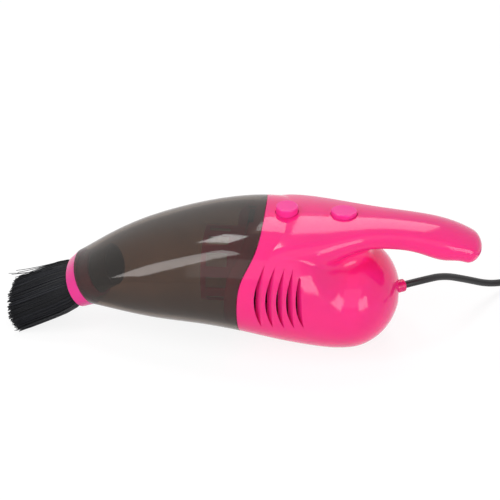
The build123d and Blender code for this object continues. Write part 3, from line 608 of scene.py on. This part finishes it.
def fibre_surface(count, width):
    """Each fibre is its centre line with a four-sided section at every station: the line plus the section's
    half width times cosine and sine, thinner towards the tip, and closed at both ends. The tilt turns the
    nozzle's axes into x, y and z. A soft maximum, ln(1 + e^x), keeps every point over the table. Returns the
    points, the faces and each point's UV, the fibre's own shade and the share of its length."""
    along, side, rise, shade = fibre_lines(count)
    t = np.array(FIBRE_STATIONS)
    thick = width / 2 * (1 - THINNING * t)
    turn = np.arange(FIBRE_SIDES) * 2 * math.pi / FIBRE_SIDES
    side = side[:, :, None] + thick[None, :, None] * np.cos(turn)
    rise = rise[:, :, None] + thick[None, :, None] * np.sin(turn)
    along = along[:, :, None] + np.zeros(FIBRE_SIDES)
    c, s = math.cos(math.radians(NOZZLE_TILT)), math.sin(math.radians(NOZZLE_TILT))
    x = RING_CENTRE[0] - along * c - rise * s
    z = RING_CENTRE[1] - along * s + rise * c
    table = TABLE_GAP + TABLE_SCATTER * shade[:, None, None]
    z = table + np.logaddexp(0, (z - table) * TABLE_BEND) / TABLE_BEND
    points = np.stack([x, side, z], 3).reshape(-1, 3) * MM
    uv = np.stack(np.broadcast_arrays(shade[:, None, None], t[None, :, None], z)[:2], 3).reshape(-1, 2)

    first = (np.arange(count) * t.size * FIBRE_SIDES)[:, None, None]
    step = (np.arange(t.size - 1) * FIBRE_SIDES)[None, :, None]
    corner = np.arange(FIBRE_SIDES)[None, None, :]
    after = (corner + 1) % FIBRE_SIDES
    low, high = first + step, first + step + FIBRE_SIDES
    walls = np.stack([low + corner, low + after, high + after, high + corner], 3).reshape(-1, 4)
    tips = (first[:, 0] + (t.size - 1) * FIBRE_SIDES + np.arange(FIBRE_SIDES)).reshape(-1, 4)
    roots = (first[:, 0] + np.arange(FIBRE_SIDES)[::-1]).reshape(-1, 4)
    return points, np.vstack([walls, tips, roots]), uv


class VACUUM_OT_fibres(bpy.types.Operator):
    """Sweeps a tapered four-sided section along each fibre line of the brush"""

    bl_idname = "vacuum.fibres"
    bl_label = "Brush fibres"

    def execute(self, context):
        sizes = context.scene.vacuum_sizes
        points, faces, uv = fibre_surface(sizes.fibre_count, sizes.fibre_width / MM)
        brush = add_piece("brush_fibres", points, faces)
        layer = brush.data.uv_layers.new(name="UVMap")
        corners = np.zeros(len(brush.data.loops), np.int32)
        brush.data.loops.foreach_get("vertex_index", corners)
        layer.data.foreach_set("uv", uv[corners].ravel())
        nylon = fibre_nylon("fibre_nylon_black", tuple(context.scene.vacuum_colours.fibre))
        brush.data.materials.append(nylon)
        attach(brush, "brush")
        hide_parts("brush_bristles")
        return {"FINISHED"}


# ---------------------------------------------------------------- spring
SPRING_TURNS = 4.0
SPRING_WIRE = 0.7 * MM  # thickness, in metres as the box is
SPRING_STEPS = 112
WIRE_SIDES = 12


def spring_surface(low, high):
    """Round wire along a helix that fills the box from low to high: the angle grows evenly, the height with it,
    and each section is a circle in the plane of the outward direction and of its cross product with the line."""
    angle = np.linspace(0, 2 * math.pi * SPRING_TURNS, SPRING_STEPS)[:, None]
    radius, thick = (high[0] - low[0] - SPRING_WIRE) / 2, SPRING_WIRE / 2
    climb = high[2] - low[2] - SPRING_WIRE
    out = np.hstack([np.cos(angle), np.sin(angle), 0 * angle])
    pitch = 0 * angle + climb / angle[-1]
    line = np.hstack([-radius * np.sin(angle), radius * np.cos(angle), pitch])
    side = np.cross(line / np.linalg.norm(line, axis=1)[:, None], out)
    middle = [(low[0] + high[0]) / 2, (low[1] + high[1]) / 2, low[2] + thick]
    centre = np.array(middle) + radius * out + np.array([0, 0, climb]) * angle / angle[-1]
    turn = np.linspace(0, 2 * math.pi, WIRE_SIDES, endpoint=False)[None, :, None]
    points = centre[:, None] + thick * (np.cos(turn) * out[:, None] + np.sin(turn) * side[:, None])

    ring = np.arange(SPRING_STEPS - 1)[:, None] * WIRE_SIDES
    corner = np.arange(WIRE_SIDES)[None, :]
    after = (corner + 1) % WIRE_SIDES
    above = ring + WIRE_SIDES
    walls = np.stack([ring + corner, above + corner, above + after, ring + after], 2)
    first = np.arange(WIRE_SIDES)
    last = (SPRING_STEPS - 1) * WIRE_SIDES + first[::-1]
    return points.reshape(-1, 3), walls.reshape(-1, 4).tolist() + [first.tolist(), last.tolist()]


class VACUUM_OT_spring(bpy.types.Operator):
    """Winds the release button's spring at the length of its box; the real spring shortens as the button is
    pressed
    """

    bl_idname = "vacuum.spring"
    bl_label = "Release spring"

    def execute(self, context):
        low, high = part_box("release_spring")
        spring = add_piece("release_spring_wire", *spring_surface(low, high))
        spring.data.materials.append(bare_metal("spring_steel", STEEL))
        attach(spring, "housing")
        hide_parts("release_spring")
        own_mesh(spring)
        return {"FINISHED"}


# ---------------------------------------------------------------- stage
# Camera: the target lies in the grip's root, and the lens takes in 225 mm there. Target, distance and the
# nearest point that it sees are in metres.
TARGET = (2.4165 * MM, 0.0, 42.4 * MM)
DISTANCE = 0.9
NEAR = 0.02
SENSOR = 36.0
LENS = 144.0
AZIMUTH = 5.5
ELEVATION = 32.0

# Lamps: lengths in metres, the last number is the lamp's share of the plain light level.
LAMPS = (  # name, azimuth, elevation, distance, width, height, share
    ("lamp_right_front", 45.0, 13.0, 0.75, 0.38, 0.34, 0.36),
    ("lamp_left_front", -54.0, 40.0, 0.8, 0.19, 0.78, 0.42),
    ("lamp_left_back", -124.5, 65.5, 0.8, 0.2, 0.16, 0.14),
    ("lamp_right_back", 170.0, 52.0, 0.8, 0.36, 0.34, 0.24),
    ("lamp_front_fill", 0.0, 35.0, 1.2, 1.6, 1.0, 0.25),
)
LIGHT_CENTRE = (0.0, 0.0, 0.035)
AMBIENT = 0.25
FLOOR_REACH = 1.5  # half the floor's side, in metres
FLOOR_GREY = 0.8  # the floor as it lights the object
SHADOW_GREY = 0.21  # the part of the seen floor that takes the shadow
FLOOR_LIFT = 0.85  # the part of the seen floor that is white by itself


def direction(azimuth, elevation):
    """Unit vector from the object: azimuth 0 is towards the viewer at the front, 90 to the right."""
    a, e = math.radians(azimuth), math.radians(elevation)
    return Vector((math.sin(a) * math.cos(e), -math.cos(a) * math.cos(e), math.sin(e)))


def seen_directly(m):
    """1 for rays that see the white backdrop: from the camera, in a reflection or through clear plastic."""
    path = m.add("ShaderNodeLightPath")
    mirrored = m.add("ShaderNodeMath", operation="MAXIMUM")
    m.link(path.outputs["Is Camera Ray"], mirrored.inputs[0])
    m.link(path.outputs["Is Glossy Ray"], mirrored.inputs[1])
    passed = m.add("ShaderNodeMath", operation="MAXIMUM")
    m.link(mirrored.outputs[0], passed.inputs[0])
    m.link(path.outputs["Is Transmission Ray"], passed.inputs[1])
    return passed.outputs[0]


def floor_material():
    """Matt white floor; where it is seen it is lifted to white and keeps a soft shadow."""
    m = new_material("floor_white")
    plain = m.add("ShaderNodeBsdfDiffuse")
    plain.inputs["Color"].default_value = (FLOOR_GREY, FLOOR_GREY, FLOOR_GREY, 1)
    shadow = m.add("ShaderNodeBsdfDiffuse")
    shadow.inputs["Color"].default_value = (SHADOW_GREY, SHADOW_GREY, SHADOW_GREY, 1)
    lift = m.add("ShaderNodeEmission")
    lift.inputs["Strength"].default_value = FLOOR_LIFT
    both = m.add("ShaderNodeAddShader")
    m.link(shadow.outputs[0], both.inputs[0])
    m.link(lift.outputs[0], both.inputs[1])
    m.mix(seen_directly(m), plain, both)
    return m.holder


def white_world(world):
    """White where it is seen, a low even light on the object elsewhere."""
    m = Nodes(world, "ShaderNodeOutputWorld")
    ambient = m.add("ShaderNodeBackground")
    ambient.inputs["Color"].default_value = (1, 1, 1, 1)
    ambient.inputs["Strength"].default_value = AMBIENT
    seen = m.add("ShaderNodeBackground")
    seen.inputs["Color"].default_value = (1, 1, 1, 1)
    seen.inputs["Strength"].default_value = 1.0
    m.mix(seen_directly(m), ambient, seen)


def add_camera(scene):
    """Camera on a line from the target, turned to it."""
    camera = bpy.data.objects.new("camera", bpy.data.cameras.new("camera"))
    scene.collection.objects.link(camera)
    camera.data.sensor_width = SENSOR
    camera.data.lens = LENS
    camera.data.clip_start = NEAR
    back = direction(AZIMUTH, ELEVATION)
    camera.location = Vector(TARGET) + back * DISTANCE
    camera.rotation_euler = (-back).to_track_quat("-Z", "Y").to_euler()
    scene.camera = camera


def add_floor(scene):
    """One square on the table's plane."""
    mesh = bpy.data.meshes.new("floor")
    corners = [(x * FLOOR_REACH, y * FLOOR_REACH, 0) for x, y in ((-1, -1), (1, -1), (1, 1), (-1, 1))]
    mesh.from_pydata(corners, [], [(0, 1, 2, 3)])
    floor = bpy.data.objects.new("floor", mesh)
    scene.collection.objects.link(floor)
    mesh.materials.append(floor_material())


def add_lamp(scene, name, azimuth, elevation, distance, width, height, share):
    """Soft area lamp turned to the object: its energy is the share times pi^2 times the distance squared."""
    lamp = bpy.data.lights.new(name, "AREA")
    lamp.shape = "RECTANGLE"
    lamp.size, lamp.size_y = width, height
    lamp.energy = share * math.pi**2 * distance**2
    holder = bpy.data.objects.new(name, lamp)
    towards = direction(azimuth, elevation)
    holder.location = Vector(LIGHT_CENTRE) + towards * distance
    holder.rotation_euler = towards.to_track_quat("Z", "Y").to_euler()
    holder.visible_camera = False
    scene.collection.objects.link(holder)


class VACUUM_OT_stage(bpy.types.Operator):
    """Makes the camera, the pale floor, the white surroundings and the soft lamps"""

    bl_idname = "vacuum.stage"
    bl_label = "Stage and camera"

    def execute(self, context):
        scene = context.scene
        scene.view_settings.view_transform = "Standard"
        add_camera(scene)
        add_floor(scene)
        scene.world = bpy.data.worlds.new("white_surroundings")
        white_world(scene.world)
        for lamp in LAMPS:
            add_lamp(scene, *lamp)
        return {"FINISHED"}


# ---------------------------------------------------------------- panel
STEPS = (
    VACUUM_OT_stage,
    VACUUM_OT_tie,
    VACUUM_OT_cord,
    VACUUM_OT_fibres,
    VACUUM_OT_spring,
    VACUUM_OT_finishes,
)


class VACUUM_PT_panel(bpy.types.Panel):
    """Lists the sizes, the colours and the steps that build the vacuum"""

    bl_idname = "VACUUM_PT_panel"
    bl_label = "Handheld Mini Vacuum"
    bl_space_type = "VIEW_3D"
    bl_region_type = "UI"
    bl_category = "Vacuum"

    def draw(self, context):
        for group in (context.scene.vacuum_sizes, context.scene.vacuum_colours):
            for key in group.__annotations__:
                self.layout.prop(group, key)
        for step in STEPS:
            self.layout.operator(step.bl_idname)


CLASSES = (VacuumSizes, VacuumColours, *STEPS, VACUUM_PT_panel)


def register():
    for cls in CLASSES:
        bpy.utils.register_class(cls)
    bpy.types.Scene.vacuum_sizes = PointerProperty(type=VacuumSizes)
    bpy.types.Scene.vacuum_colours = PointerProperty(type=VacuumColours)


def unregister():
    del bpy.types.Scene.vacuum_colours
    del bpy.types.Scene.vacuum_sizes
    for cls in reversed(CLASSES):
        bpy.utils.unregister_class(cls)


def main():
    register()
    bpy.ops.vacuum.stage()
    bpy.ops.vacuum.tie()
    bpy.ops.vacuum.cord()
    bpy.ops.vacuum.fibres()
    bpy.ops.vacuum.spring()
    bpy.ops.vacuum.finishes()


if __name__ == "__main__":
    main()
